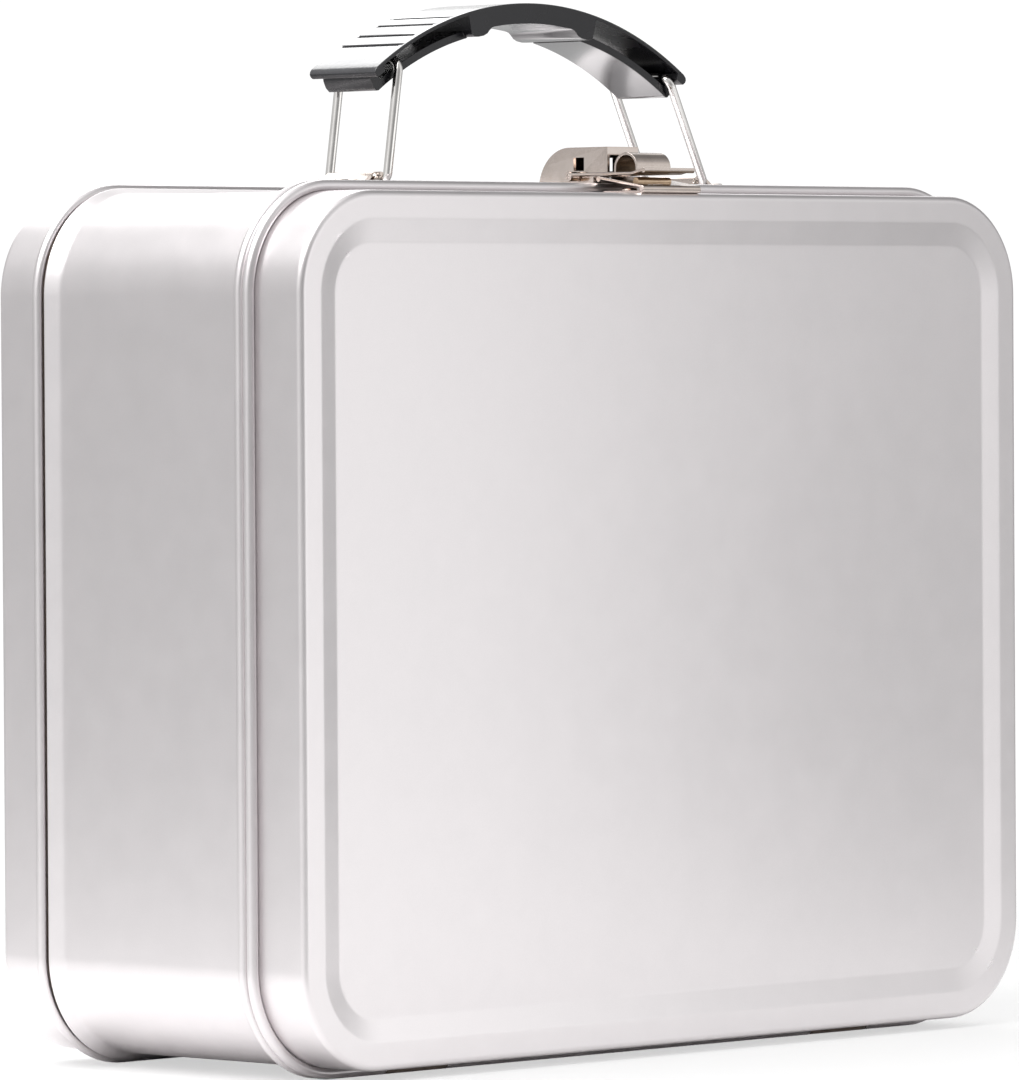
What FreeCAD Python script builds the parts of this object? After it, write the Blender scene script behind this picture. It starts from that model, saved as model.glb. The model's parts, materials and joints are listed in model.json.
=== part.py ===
import FreeCAD, Part
import math
import os
import re
import Sketcher
from FreeCAD import Placement, Rotation, Vector

# A metal lunch box: a band of tinplate with a pressed rear cover, a front lid hinged along the
# bottom, a snap hasp on top and a plastic grip on two wire bails.
#
# Every sub-part is drawn in the shell frame: y = 0 is the lid's front face and y grows to the rear,
# x = 0 is the middle of the width, z = 0 is the underside of the lid's wall. place() then moves it
# to the object's frame, whose origin is the middle of the bottom of the box's bounding box.

doc = FreeCAD.newDocument("lunch_box")

# ---------------------------------------------------------------------------------------------
# Driving dimensions, in millimetres and degrees
# ---------------------------------------------------------------------------------------------
DIMENSIONS = {
    # box
    "box_width": 203.0,
    "box_height": 165.0,
    "box_depth": 82.7,
    "corner_radius": 19.5,
    "sheet": 0.6,
    # pressed front of the lid and of the rear cover
    "edge_round": 1.3,
    "face_border": 5.4,
    "panel_slope": 4.4,
    "panel_recess": 0.9,
    "slope_round": 3.0,
    "panel_lap": 2.0,
    # curled edges: how deep each shell is to the middle of its curl, and the band's own edges
    "curl_radius": 1.1,
    "curl_bite": 0.1,
    "lid_depth": 12.9,
    "cover_depth": 12.3,
    "bead_place": 15.25,
    "neck_front": 9.0,
    "neck_gap": 0.4,
    "neck_rear": 76.0,
    "flare_start": 65.4,
    "flare_crest": 68.4,
    "flare_rise": 1.5,
    # hinge at the bottom
    "hinge_place": 60.0,
    "strap_width": 16.0,
    "strap_sheet": 0.5,
    "strap_end": 26.0,
    "strap_rivet_place": 21.5,
    "strap_rivet_spread": 4.5,
    "notch_gap": 0.25,
    "notch_front": 11.2,
    "pin_radius": 0.6,
    "pin_seat": 9.0,
    "running_gap": 0.05,
    # rivets
    "shank_radius": 1.0,
    "head_radius": 1.6,
    "head_height": 0.55,
    "clinch_height": 0.6,
    # latch: hood on the band
    "hood_width": 8.8,
    "hood_sheet": 0.7,
    "hood_front": 13.4,
    "hood_rear": 31.9,
    "hood_rise": 9.2,
    "hood_round": 8.2,
    "hood_lip": 1.6,
    "cheek_front": 17.2,
    "cheek_lift": 3.5,
    "window_front": 19.7,
    "window_rear": 22.5,
    "window_low": 4.6,
    "window_high": 7.2,
    "base_sheet": 0.8,
    "base_width": 14.0,
    "base_rear": 36.8,
    "latch_rivet_front": 24.5,
    "latch_rivet_rear": 34.4,
    "backing_sheet": 0.8,
    # latch: hasp
    "hasp_width": 14.2,
    "hasp_sheet": 0.5,
    "hasp_lift": 3.65,
    "hasp_pivot_place": 21.5,
    "hasp_pivot_lift": 3.5,
    "hasp_knuckle_radius": 0.95,
    "hasp_pin_radius": 0.45,
    "hasp_slot": 9.52,
    "arch_front": 5.1,
    "arch_rear": 11.3,
    "arch_rise": 7.95,
    "arch_round": 3.0,
    "lip_bend": 4.5,
    "lip_front": 0.9,
    "lip_rise": 0.75,
    "lip_roll_radius": 0.5,
    # latch: keeper on the lid
    "keeper_width": 16.2,
    "keeper_sheet": 0.5,
    "keeper_foot_end": 11.0,
    "keeper_roll_place": 0.95,
    "keeper_roll_radius": 0.75,
    "keeper_hem_place": 12.4,
    "keeper_hem_lift": 2.85,
    "keeper_hem_radius": 0.55,
    "keeper_rivet_place": 7.0,
    "keeper_rivet_spread": 5.0,
    "striker_place": 5.6,
    "striker_lift": 2.35,
    "striker_radius": 0.8,
    "striker_length": 9.4,
    # handle: brackets
    "bracket_width": 12.4,
    "bracket_sheet": 0.8,
    "bracket_end": 56.4,
    "bracket_shoulder": 49.6,
    "bracket_rise": 2.4,
    "bracket_rivet_place": 53.0,
    "bracket_rivet_spread": 3.4,
    "washer_length": 9.0,
    "washer_sheet": 0.6,
    # handle: bails
    "wire_radius": 0.9,
    "pivot_place": 45.0,
    "pivot_lift": 2.6,
    "bail_length": 23.7,
    "bail_half_width": 7.9,
    "bail_top_bend": 2.5,
    "bail_foot_bend": 1.5,
    "foot_gap": 2.0,
    "left_lean": 8.75,
    "right_lean": 26.0,
    # handle: grip, an arc about an axis along y, with radii from that axis
    "grip_shift": -5.2,
    "grip_axis_lift": -40.0,
    "grip_outer": 77.6,
    "grip_inner": 72.3,
    "grip_waist": 73.6,
    "grip_width": 18.0,
    "grip_half_angle": 34.8,
    "slot_outer": 76.85,
    "slot_inner": 73.85,
    "slot_far_angle": 32.9,
    "slot_near_angle": 13.5,
    "waist_angle": 9.2,
    "rail_width": 13.0,
    "leg_relief": 75.7,
}

sizes = doc.addObject("Spreadsheet::Sheet", "Sizes")
for row, (alias, number) in enumerate(DIMENSIONS.items(), start=1):
    sizes.set("A%d" % row, alias)
    sizes.set("B%d" % row, str(number))
    sizes.setAlias("B%d" % row, alias)
doc.recompute()

sub_parts = []


def full(expression):
    """The expression with every name of the sheet written in full."""
    return re.sub(r"[a-z_]+", lambda word: ("Sizes." if word.group(0) in DIMENSIONS else "") + word.group(0),
                  str(expression))


def size(expression):
    return float(sizes.evalExpression(full(expression)))


def bind(item, name, expression):
    item.setExpression(name, full(expression))


# ---------------------------------------------------------------------------------------------
# Sketches: closed or open outlines whose corners and roundings are bound to the sheet
# ---------------------------------------------------------------------------------------------
def new_sketch(body, name, role, offset="0"):
    """A sketch on one of the body's own origin planes, moved along the plane's normal by offset."""
    plane = next(item for item in body.Origin.OriginFeatures if item.Role == role)
    sketch = body.newObject("Sketcher::SketchObject", name)
    sketch.AttachmentSupport = [(plane, "")]
    sketch.MapMode = "FlatFace"
    bind(sketch, "AttachmentOffset.Base.z", offset)
    return sketch


def fix_point(sketch, shape, end, across, up):
    """Holds one point of the sketch at the two given expressions."""
    for kind, expression, axis in (("DistanceX", across, -2), ("DistanceY", up, -1)):
        if abs(size(expression)) < 1e-9:
            sketch.addConstraint(Sketcher.Constraint("PointOnObject", shape, end, axis))
        else:
            number = sketch.addConstraint(Sketcher.Constraint(kind, -1, 1, shape, end, size(expression)))
            bind(sketch, "Constraints[%d]" % number, expression)


def circle(sketch, across, up, radius):
    centre = Vector(size(across), size(up), 0)
    shape = sketch.addGeometry(Part.Circle(centre, Vector(0, 0, 1), size(radius)))
    number = sketch.addConstraint(Sketcher.Constraint("Radius", shape, size(radius)))
    bind(sketch, "Constraints[%d]" % number, radius)
    fix_point(sketch, shape, 3, across, up)


def outline(sketch, corners, closed=True):
    """Straight runs through the corners (across, up, optional radius), each rounded corner an arc."""
    points = [Vector(size(corner[0]), size(corner[1]), 0) for corner in corners]
    radii = [size(corner[2]) if len(corner) > 2 else 0.0 for corner in corners]
    count = len(points)
    into = list(points)
    out = list(points)
    centres = [None] * count
    for i in range(count):
        if radii[i]:
            back = (points[i - 1] - points[i]).normalize()
            ahead = (points[(i + 1) % count] - points[i]).normalize()
            half_turn = back.getAngle(ahead) / 2
            into[i] = points[i] + back * (radii[i] / math.tan(half_turn))
            out[i] = points[i] + ahead * (radii[i] / math.tan(half_turn))
            centres[i] = points[i] + (back + ahead).normalize() * (radii[i] / math.sin(half_turn))
    runs = count if closed else count - 1
    lines = [sketch.addGeometry(Part.LineSegment(out[i], into[(i + 1) % count])) for i in range(runs)]
    for i in range(count):
        across, up = corners[i][:2]
        if not closed and i == 0:
            fix_point(sketch, lines[0], 1, across, up)
            continue
        if not closed and i == count - 1:
            fix_point(sketch, lines[-1], 2, across, up)
            continue
        before = lines[i - 1]
        after = lines[i]
        if not radii[i]:
            sketch.addConstraint(Sketcher.Constraint("Coincident", before, 2, after, 1))
            fix_point(sketch, after, 1, across, up)
            continue
        start = math.atan2(into[i].y - centres[i].y, into[i].x - centres[i].x)
        end = math.atan2(out[i].y - centres[i].y, out[i].x - centres[i].x)
        left_turn = (end - start) % (2 * math.pi) < math.pi
        span = (start, end) if left_turn else (end, start)
        first, last = (1, 2) if left_turn else (2, 1)
        arc = sketch.addGeometry(Part.ArcOfCircle(Part.Circle(centres[i], Vector(0, 0, 1), radii[i]), *span))
        sketch.addConstraint(Sketcher.Constraint("Tangent", before, 2, arc, first))
        sketch.addConstraint(Sketcher.Constraint("Tangent", arc, last, after, 1))
        number = sketch.addConstraint(Sketcher.Constraint("Radius", arc, radii[i]))
        bind(sketch, "Constraints[%d]" % number, corners[i][2])
        corner_point = sketch.addGeometry(Part.Point(points[i]), True)
        sketch.addConstraint(Sketcher.Constraint("PointOnObject", corner_point, 1, before))
        sketch.addConstraint(Sketcher.Constraint("PointOnObject", corner_point, 1, after))
        fix_point(sketch, corner_point, 1, across, up)


def box_outline(sketch, inset):
    """The box's rounded rectangle seen from the front, drawn in by inset, starting mid-bottom."""
    left = "-(box_width / 2 - (%s))" % inset
    right = "box_width / 2 - (%s)" % inset
    top = "box_height - (%s)" % inset
    radius = "corner_radius - (%s)" % inset
    outline(sketch, [("0", inset), (right, inset, radius), (right, top, radius), (left, top, radius),
                     (left, inset, radius)])


def rectangle(sketch, left, low, right, high):
    outline(sketch, [(left, low), (right, low), (right, high), (left, high)])


# ---------------------------------------------------------------------------------------------
# Features
# ---------------------------------------------------------------------------------------------
def new_body(label):
    body = doc.addObject("PartDesign::Body", label)
    body.Label = label
    sub_parts.append(body)
    return body


def place(item, across="0", back="0", up="0", rotation=Rotation()):
    """Puts a sub-part drawn about the given point of the shell frame into the object's frame."""
    item.Placement = Placement(Vector(), rotation)
    bind(item, "Placement.Base.x", across)
    bind(item, "Placement.Base.y", "(%s) - box_depth / 2" % back)
    bind(item, "Placement.Base.z", "(%s) + 2 * curl_radius - curl_bite" % up)


def straight(body, kind, name, sketch, length):
    """A Pad or Pocket that reaches half of length to each side of its sketch."""
    feature = body.newObject("PartDesign::" + kind, name)
    feature.Profile = sketch
    feature.SideType = "Symmetric"
    bind(feature, "Length", length)
    doc.recompute()
    return feature


def turned(body, kind, name, sketch, axis_role, angle):
    """A Revolution or Groove that turns half of angle to each side of its sketch."""
    axis = next(item for item in body.Origin.OriginFeatures if item.Role == axis_role)
    feature = body.newObject("PartDesign::" + kind, name)
    feature.Profile = sketch
    feature.ReferenceAxis = (axis, [""])
    feature.Midplane = True
    bind(feature, "Angle", angle)
    doc.recompute()
    return feature


def sweep(body, name, section, path):
    feature = body.newObject("PartDesign::AdditivePipe", name)
    feature.Profile = section
    feature.Spine = path
    doc.recompute()
    return feature


def drill(body, name, role, offset, spots, radius, length):
    """Round holes of one radius, square to an origin plane, half of length to each side of offset."""
    sketch = new_sketch(body, name + "Circles", role, offset)
    for across, up in spots:
        circle(sketch, across, up, radius)
    before = body.Shape.Volume
    straight(body, "Pocket", name, sketch, length)
    if body.Shape.Volume >= before:
        raise RuntimeError(name + " cut nothing")


def cut_box(body, name, role, offset, corner_a, corner_b, length):
    sketch = new_sketch(body, name + "Outline", role, offset)
    rectangle(sketch, corner_a[0], corner_a[1], corner_b[0], corner_b[1])
    before = body.Shape.Volume
    straight(body, "Pocket", name, sketch, length)
    if body.Shape.Volume >= before:
        raise RuntimeError(name + " cut nothing")


# ---------------------------------------------------------------------------------------------
# Shells
# ---------------------------------------------------------------------------------------------
def curl(body, name, path, place_along):
    """A rolled edge that stands proud of the wall all the way round."""
    section = new_sketch(body, name + "Section", "YZ_Plane")
    circle(section, place_along, "curl_bite - curl_radius", "curl_radius")
    sweep(body, name, section, path)


def pan(label, depth):
    """A drawn shell: rounded front edge, flat border, slope down to a recessed panel, curled edge."""
    body = new_body(label)
    path = new_sketch(body, "WallPath", "XZ_Plane")
    box_outline(path, "0")
    section = new_sketch(body, "WallSection", "YZ_Plane")
    inner_end = "face_border + panel_slope + panel_lap + 1"
    outline(section, [
        (depth, "0"),
        ("0", "0", "edge_round"),
        ("0", "face_border", "slope_round"),
        ("panel_recess", "face_border + panel_slope", "slope_round"),
        ("panel_recess", inner_end),
        ("panel_recess + sheet", inner_end),
        ("panel_recess + sheet", "face_border + panel_slope", "slope_round"),
        ("sheet", "face_border", "slope_round"),
        ("sheet", "sheet", "edge_round - sheet"),
        (depth, "sheet"),
    ])
    sweep(body, "Wall", section, path)
    panel = new_sketch(body, "PanelOutline", "XZ_Plane", "-(panel_recess + sheet / 2)")
    box_outline(panel, "face_border + panel_slope + panel_lap")
    straight(body, "Pad", "Panel", panel, "sheet")
    curl(body, "Curl", path, depth)
    return body


def hinge_spots():
    return [("left", "-hinge_place"), ("right", "hinge_place")]


def make_front_lid():
    lid = pan("front_lid", "lid_depth")
    for side, middle in hinge_spots():
        cut_box(lid, "HingeNotch_" + side, "YZ_Plane", middle, ("notch_front", "-3 * curl_radius"),
                ("lid_depth + 2 * curl_radius", "sheet + curl_bite"), "strap_width + 2 * notch_gap")
        drill(lid, "PinBore_" + side, "YZ_Plane", middle, [("lid_depth", "curl_bite - curl_radius")],
              "pin_radius", "strap_width + 2 * pin_seat")
    drill(lid, "KeeperHoles", "XY_Plane", "box_height",
          [("-keeper_rivet_spread", "keeper_rivet_place"), ("keeper_rivet_spread", "keeper_rivet_place")],
          "shank_radius", "4")
    place(lid)


def make_rear_cover():
    cover = pan("rear_cover", "cover_depth")
    place(cover, back="box_depth", rotation=Rotation(Vector(0, 0, 1), 180))


def make_body_band():
    """The wall of the box: a neck that the lid closes over, a bead, a flat wall, a flare and a rear neck."""
    band = new_body("body_band")
    path = new_sketch(band, "WallPath", "XZ_Plane")
    box_outline(path, "0")
    section = new_sketch(band, "WallSection", "YZ_Plane")
    neck = "sheet + neck_gap"
    outline(section, [
        ("neck_front", neck),
        ("bead_place - 1.6", neck, "0.6"),
        ("bead_place - 0.6", "0"),
        ("flare_start", "0", "2"),
        ("flare_crest", "-flare_rise"),
        ("flare_crest + sheet", "sheet"),
        ("neck_rear", "sheet"),
        ("neck_rear", "2 * sheet"),
        ("flare_crest", "2 * sheet"),
        ("flare_crest - 0.3", "0.8 - flare_rise"),
        ("flare_start", "sheet", "2"),
        ("bead_place - 0.2", "sheet"),
        ("bead_place - 1.2", "sheet + (%s)" % neck, "0.6"),
        ("neck_front", "sheet + (%s)" % neck),
    ])
    sweep(band, "Wall", section, path)
    curl(band, "Bead", path, "bead_place")
    for side, middle in hinge_spots():
        cut_box(band, "HingeNotch_" + side, "YZ_Plane", middle,
                ("bead_place - 2 * curl_radius", "-3 * curl_radius"), ("bead_place + 2 * curl_radius", "0"),
                "strap_width + 2 * notch_gap")
    top_holes = [("0", "latch_rivet_front"), ("0", "latch_rivet_rear")]
    for across in ("-bracket_rivet_place", "bracket_rivet_place"):
        for back in ("box_depth / 2 - bracket_rivet_spread", "box_depth / 2 + bracket_rivet_spread"):
            top_holes.append((across, back))
    drill(band, "TopHoles", "XY_Plane", "box_height", top_holes, "shank_radius", "4")
    bottom_holes = [("%s + (%s)" % (middle, spread), "strap_rivet_place")
                    for side, middle in hinge_spots()
                    for spread in ("-strap_rivet_spread", "strap_rivet_spread")]
    drill(band, "BottomHoles", "XY_Plane", "0", bottom_holes, "shank_radius", "4")
    place(band)


# ---------------------------------------------------------------------------------------------
# Rivets
# ---------------------------------------------------------------------------------------------
def rivets(label, grip_length, spots, down=False):
    """One sub-part of equal rivets, each with a domed head on its spot and a clinched head inside."""
    pieces = []
    for number, (across, back, up) in enumerate(spots, start=1):
        rivet = doc.addObject("PartDesign::Body", "%s_%d" % (label, number))
        profile = new_sketch(rivet, "Profile", "XZ_Plane")
        outline(profile, [
            ("0", "head_height"),
            ("0", "-(%s) - clinch_height" % grip_length),
            ("head_radius", "-(%s) - clinch_height" % grip_length, "0.3"),
            ("head_radius", "-(%s)" % grip_length),
            ("shank_radius", "-(%s)" % grip_length),
            ("shank_radius", "0"),
            ("head_radius", "0"),
            ("head_radius", "head_height", "0.8 * head_height"),
        ])
        turned(rivet, "Revolution", "Turned", profile, "Z_Axis", "360")
        place(rivet, across, back, up, Rotation(Vector(1, 0, 0), 180 if down else 0))
        pieces.append(rivet)
    group = doc.addObject("Part::Compound", label)
    group.Label = label
    group.Links = pieces
    sub_parts.append(group)


# ---------------------------------------------------------------------------------------------
# Hinge: a strap on the band's bottom, rolled round a pin that sits in the lid's curl
# ---------------------------------------------------------------------------------------------
def make_hinge(side, middle):
    strap = new_body("hinge_strap_" + side)
    plate = new_sketch(strap, "PlateOutline", "YZ_Plane")
    rectangle(plate, "0", "curl_radius - curl_bite - strap_sheet", "strap_end - lid_depth",
              "curl_radius - curl_bite")
    straight(strap, "Pad", "Plate", plate, "strap_width")
    knuckle = new_sketch(strap, "KnuckleOutline", "YZ_Plane")
    circle(knuckle, "0", "0", "curl_radius")
    straight(strap, "Pad", "Knuckle", knuckle, "strap_width")
    drill(strap, "PinBore", "YZ_Plane", "0", [("0", "0")], "pin_radius + running_gap", "2 * strap_width")
    drill(strap, "RivetHoles", "XY_Plane", "curl_radius - curl_bite",
          [("-strap_rivet_spread", "strap_rivet_place - lid_depth"),
           ("strap_rivet_spread", "strap_rivet_place - lid_depth")], "shank_radius", "4")
    place(strap, middle, "lid_depth", "curl_bite - curl_radius")

    pin = doc.addObject("Part::Cylinder", "hinge_pin_" + side)
    pin.Label = "hinge_pin_" + side
    bind(pin, "Radius", "pin_radius")
    bind(pin, "Height", "strap_width + 2 * pin_seat")
    place(pin, "(%s) - strap_width / 2 - pin_seat" % middle, "lid_depth", "curl_bite - curl_radius",
          Rotation(Vector(0, 1, 0), 90))
    sub_parts.append(pin)

    spots = [("(%s) + (%s)" % (middle, spread), "strap_rivet_place", "-strap_sheet")
             for spread in ("-strap_rivet_spread", "strap_rivet_spread")]
    rivets("hinge_rivets_" + side, "strap_sheet + sheet", spots, down=True)


# ---------------------------------------------------------------------------------------------
# Latch
# ---------------------------------------------------------------------------------------------
def make_latch_hood():
    """A bent cover whose two cheeks carry the hasp's pin, open below and in front."""
    hood = new_body("latch_hood")
    side = new_sketch(hood, "SideOutline", "YZ_Plane")
    outline(side, [
        ("hood_front", "cheek_lift"),
        ("cheek_front", "cheek_lift"),
        ("cheek_front", "base_sheet"),
        ("hood_rear", "base_sheet"),
        ("hood_rear", "hood_rise", "hood_round"),
        ("hood_front", "hood_rise"),
    ])
    straight(hood, "Pad", "Cover", side, "hood_width")
    inside = new_sketch(hood, "InsideOutline", "YZ_Plane")
    outline(inside, [
        ("hood_front - 2", "-1"),
        ("hood_rear - hood_sheet", "-1"),
        ("hood_rear - hood_sheet", "hood_rise - hood_sheet", "hood_round - hood_sheet"),
        ("hood_front + hood_sheet", "hood_rise - hood_sheet"),
        ("hood_front + hood_sheet", "hood_rise - hood_lip"),
        ("hood_front - 2", "hood_rise - hood_lip"),
    ])
    straight(hood, "Pocket", "Inside", inside, "hood_width - 2 * hood_sheet")
    cut_box(hood, "Windows", "YZ_Plane", "0", ("window_front", "window_low"), ("window_rear", "window_high"),
            "2 * hood_width")
    drill(hood, "PinBore", "YZ_Plane", "0", [("hasp_pivot_place", "hasp_pivot_lift")],
          "hasp_pin_radius + running_gap", "2 * hood_width")
    place(hood, up="box_height")


def plate_with_holes(label, left, front, right, rear, thickness, low, holes):
    """A flat plate, its lower face at low above the box's top, with rivet holes."""
    plate = new_body(label)
    edge = new_sketch(plate, "Outline", "XY_Plane", "(%s) / 2" % thickness)
    rectangle(edge, left, front, right, rear)
    straight(plate, "Pad", "Plate", edge, thickness)
    drill(plate, "RivetHoles", "XY_Plane", "0", holes, "shank_radius", "10")
    place(plate, up="box_height + (%s)" % low)


def make_latch_plates():
    holes = [("0", "latch_rivet_front"), ("0", "latch_rivet_rear")]
    plate_with_holes("latch_base_plate", "-base_width / 2", "cheek_front", "base_width / 2", "base_rear",
                     "base_sheet", "0", holes)
    plate_with_holes("latch_backing_plate", "-base_width / 2 + 1", "cheek_front + 4", "base_width / 2 - 1",
                     "base_rear", "backing_sheet", "-sheet - backing_sheet", holes)
    rivets("latch_rivets", "base_sheet + sheet + backing_sheet",
           [(across, back, "box_height + base_sheet") for across, back in holes])


def make_latch_hasp():
    """A plate with two arms beside the hood, an arch pressed up between them and a raised lip."""
    hasp = new_body("latch_hasp")
    side = new_sketch(hasp, "PlateOutline", "YZ_Plane")
    outline(side, [
        ("hasp_pivot_place", "hasp_lift"),
        ("hasp_pivot_place", "hasp_lift + hasp_sheet"),
        ("lip_bend", "hasp_lift + hasp_sheet", "2"),
        ("lip_front", "hasp_lift + hasp_sheet + lip_rise"),
        ("lip_front", "hasp_lift + lip_rise"),
        ("lip_bend", "hasp_lift", "2"),
    ])
    straight(hasp, "Pad", "Plate", side, "hasp_width")
    rolls = new_sketch(hasp, "KnuckleOutline", "YZ_Plane")
    circle(rolls, "hasp_pivot_place", "hasp_pivot_lift", "hasp_knuckle_radius")
    straight(hasp, "Pad", "Knuckles", rolls, "hasp_width")
    lip_roll = new_sketch(hasp, "LipRollOutline", "YZ_Plane")
    circle(lip_roll, "lip_front + lip_roll_radius", "hasp_lift + lip_rise", "lip_roll_radius")
    straight(hasp, "Pad", "LipRoll", lip_roll, "hasp_width")
    cut_box(hasp, "HoodSlot", "XY_Plane", "hasp_lift", ("-hasp_slot / 2", "arch_rear - hasp_sheet"),
            ("hasp_slot / 2", "hasp_pivot_place + 3"), "8")
    cut_box(hasp, "ArchOpening", "XY_Plane", "hasp_lift", ("-hasp_slot / 2", "arch_front + hasp_sheet"),
            ("hasp_slot / 2", "arch_rear - hasp_sheet / 2"), "3")
    arch = new_sketch(hasp, "ArchOutline", "YZ_Plane")
    outline(arch, [
        ("arch_front", "hasp_lift"),
        ("arch_front", "arch_rise", "arch_round"),
        ("arch_rear", "arch_rise", "arch_round"),
        ("arch_rear", "hasp_lift"),
        ("arch_rear - hasp_sheet", "hasp_lift"),
        ("arch_rear - hasp_sheet", "arch_rise - hasp_sheet", "arch_round - hasp_sheet"),
        ("arch_front + hasp_sheet", "arch_rise - hasp_sheet", "arch_round - hasp_sheet"),
        ("arch_front + hasp_sheet", "hasp_lift"),
    ])
    straight(hasp, "Pad", "Arch", arch, "hasp_slot")
    sill = new_sketch(hasp, "SillOutline", "YZ_Plane")
    rectangle(sill, "arch_rear - hasp_sheet", "hasp_lift", "arch_rear", "hasp_lift + hasp_sheet")
    straight(hasp, "Pad", "Sill", sill, "hasp_width")
    drill(hasp, "PinBore", "YZ_Plane", "0", [("hasp_pivot_place", "hasp_pivot_lift")], "hasp_pin_radius",
          "2 * hasp_width")
    place(hasp, up="box_height")

    pin = doc.addObject("Part::Cylinder", "latch_hasp_pin")
    pin.Label = "latch_hasp_pin"
    bind(pin, "Radius", "hasp_pin_radius")
    bind(pin, "Height", "hasp_width")
    place(pin, "-hasp_width / 2", "hasp_pivot_place", "box_height + hasp_pivot_lift",
          Rotation(Vector(0, 1, 0), 90))
    sub_parts.append(pin)


def make_lid_keeper():
    """A folded plate on the lid's top: a riveted foot, a rolled front fold and a slope up to a hem."""
    keeper = new_body("lid_keeper")
    foot = new_sketch(keeper, "FootOutline", "YZ_Plane")
    rectangle(foot, "keeper_roll_place", "0", "keeper_foot_end", "keeper_sheet")
    straight(keeper, "Pad", "Foot", foot, "keeper_width")
    roll = new_sketch(keeper, "FoldOutline", "YZ_Plane")
    circle(roll, "keeper_roll_place", "keeper_roll_radius", "keeper_roll_radius")
    straight(keeper, "Pad", "Fold", roll, "keeper_width")
    slope = new_sketch(keeper, "SlopeOutline", "YZ_Plane")
    outline(slope, [
        ("keeper_roll_place", "2 * keeper_roll_radius - keeper_sheet"),
        ("keeper_hem_place", "keeper_hem_lift"),
        ("keeper_hem_place", "keeper_hem_lift + keeper_sheet"),
        ("keeper_roll_place", "2 * keeper_roll_radius"),
    ])
    straight(keeper, "Pad", "Slope", slope, "keeper_width")
    hem = new_sketch(keeper, "HemOutline", "YZ_Plane")
    circle(hem, "keeper_hem_place", "keeper_hem_lift", "keeper_hem_radius")
    straight(keeper, "Pad", "Hem", hem, "keeper_width")
    cut_box(keeper, "StrikerSlot", "XY_Plane", "striker_lift",
            ("-striker_length / 2", "striker_place - striker_radius"),
            ("striker_length / 2", "striker_place + striker_radius"), "2.4")
    holes = [("-keeper_rivet_spread", "keeper_rivet_place"), ("keeper_rivet_spread", "keeper_rivet_place")]
    drill(keeper, "RivetHoles", "XY_Plane", "0", holes, "shank_radius", "2")
    place(keeper, up="box_height")
    rivets("keeper_rivets", "keeper_sheet + sheet",
           [(across, back, "box_height + keeper_sheet") for across, back in holes])

    striker = doc.addObject("Part::Cylinder", "keeper_striker")
    striker.Label = "keeper_striker"
    bind(striker, "Radius", "striker_radius")
    bind(striker, "Height", "striker_length")
    place(striker, "-striker_length / 2", "striker_place", "box_height + striker_lift",
          Rotation(Vector(0, 1, 0), 90))
    sub_parts.append(striker)


# ---------------------------------------------------------------------------------------------
# Handle
# ---------------------------------------------------------------------------------------------
def make_bail_bracket(side):
    """A raised strap whose inner end rolls round the bail's foot; drawn for the right-hand side."""
    bracket = new_body("bail_bracket_" + side)
    strap = new_sketch(bracket, "StrapOutline", "XZ_Plane")
    roll_top = "pivot_lift + wire_radius + running_gap + bracket_sheet"
    outline(strap, [
        ("bracket_end", "0"),
        ("bracket_end", "bracket_rise", "0.9"),
        ("bracket_shoulder", "bracket_rise", "3"),
        ("pivot_place + 2", "(%s) - 0.1" % roll_top, "1.5"),
        ("pivot_place", roll_top),
        ("pivot_place", "(%s) - 0.7" % roll_top),
        ("pivot_place + 2", "(%s) - 0.9" % roll_top, "1.5"),
        ("bracket_shoulder", "bracket_rise - bracket_sheet", "3"),
        ("bracket_end - bracket_sheet", "bracket_rise - bracket_sheet"),
        ("bracket_end - bracket_sheet", "0"),
    ])
    straight(bracket, "Pad", "Strap", strap, "bracket_width")
    roll = new_sketch(bracket, "RollOutline", "XZ_Plane")
    circle(roll, "pivot_place", "pivot_lift", "wire_radius + running_gap + bracket_sheet")
    straight(bracket, "Pad", "Roll", roll, "bracket_width")
    drill(bracket, "WireBore", "XZ_Plane", "0", [("pivot_place", "pivot_lift")],
          "wire_radius + running_gap", "2 * bracket_width")
    drill(bracket, "RivetHoles", "XY_Plane", "bracket_rise",
          [("bracket_rivet_place", "-bracket_rivet_spread"), ("bracket_rivet_place", "bracket_rivet_spread")],
          "shank_radius", "3")
    place(bracket, back="box_depth / 2", up="box_height",
          rotation=Rotation(Vector(0, 0, 1), 0 if side == "right" else 180))

    sign = "" if side == "right" else "-"
    washer_middle = sign + "bracket_rivet_place"
    holes = [(washer_middle, "box_depth / 2 - bracket_rivet_spread"),
             (washer_middle, "box_depth / 2 + bracket_rivet_spread")]
    plate_with_holes("bracket_backing_plate_" + side,
                     washer_middle + " - washer_length / 2", "box_depth / 2 - bracket_width / 2",
                     washer_middle + " + washer_length / 2", "box_depth / 2 + bracket_width / 2",
                     "washer_sheet", "-sheet - washer_sheet", holes)
    rivets("bracket_rivets_" + side, "bracket_rise + sheet + washer_sheet",
           [(across, back, "box_height + bracket_rise") for across, back in holes])


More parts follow.
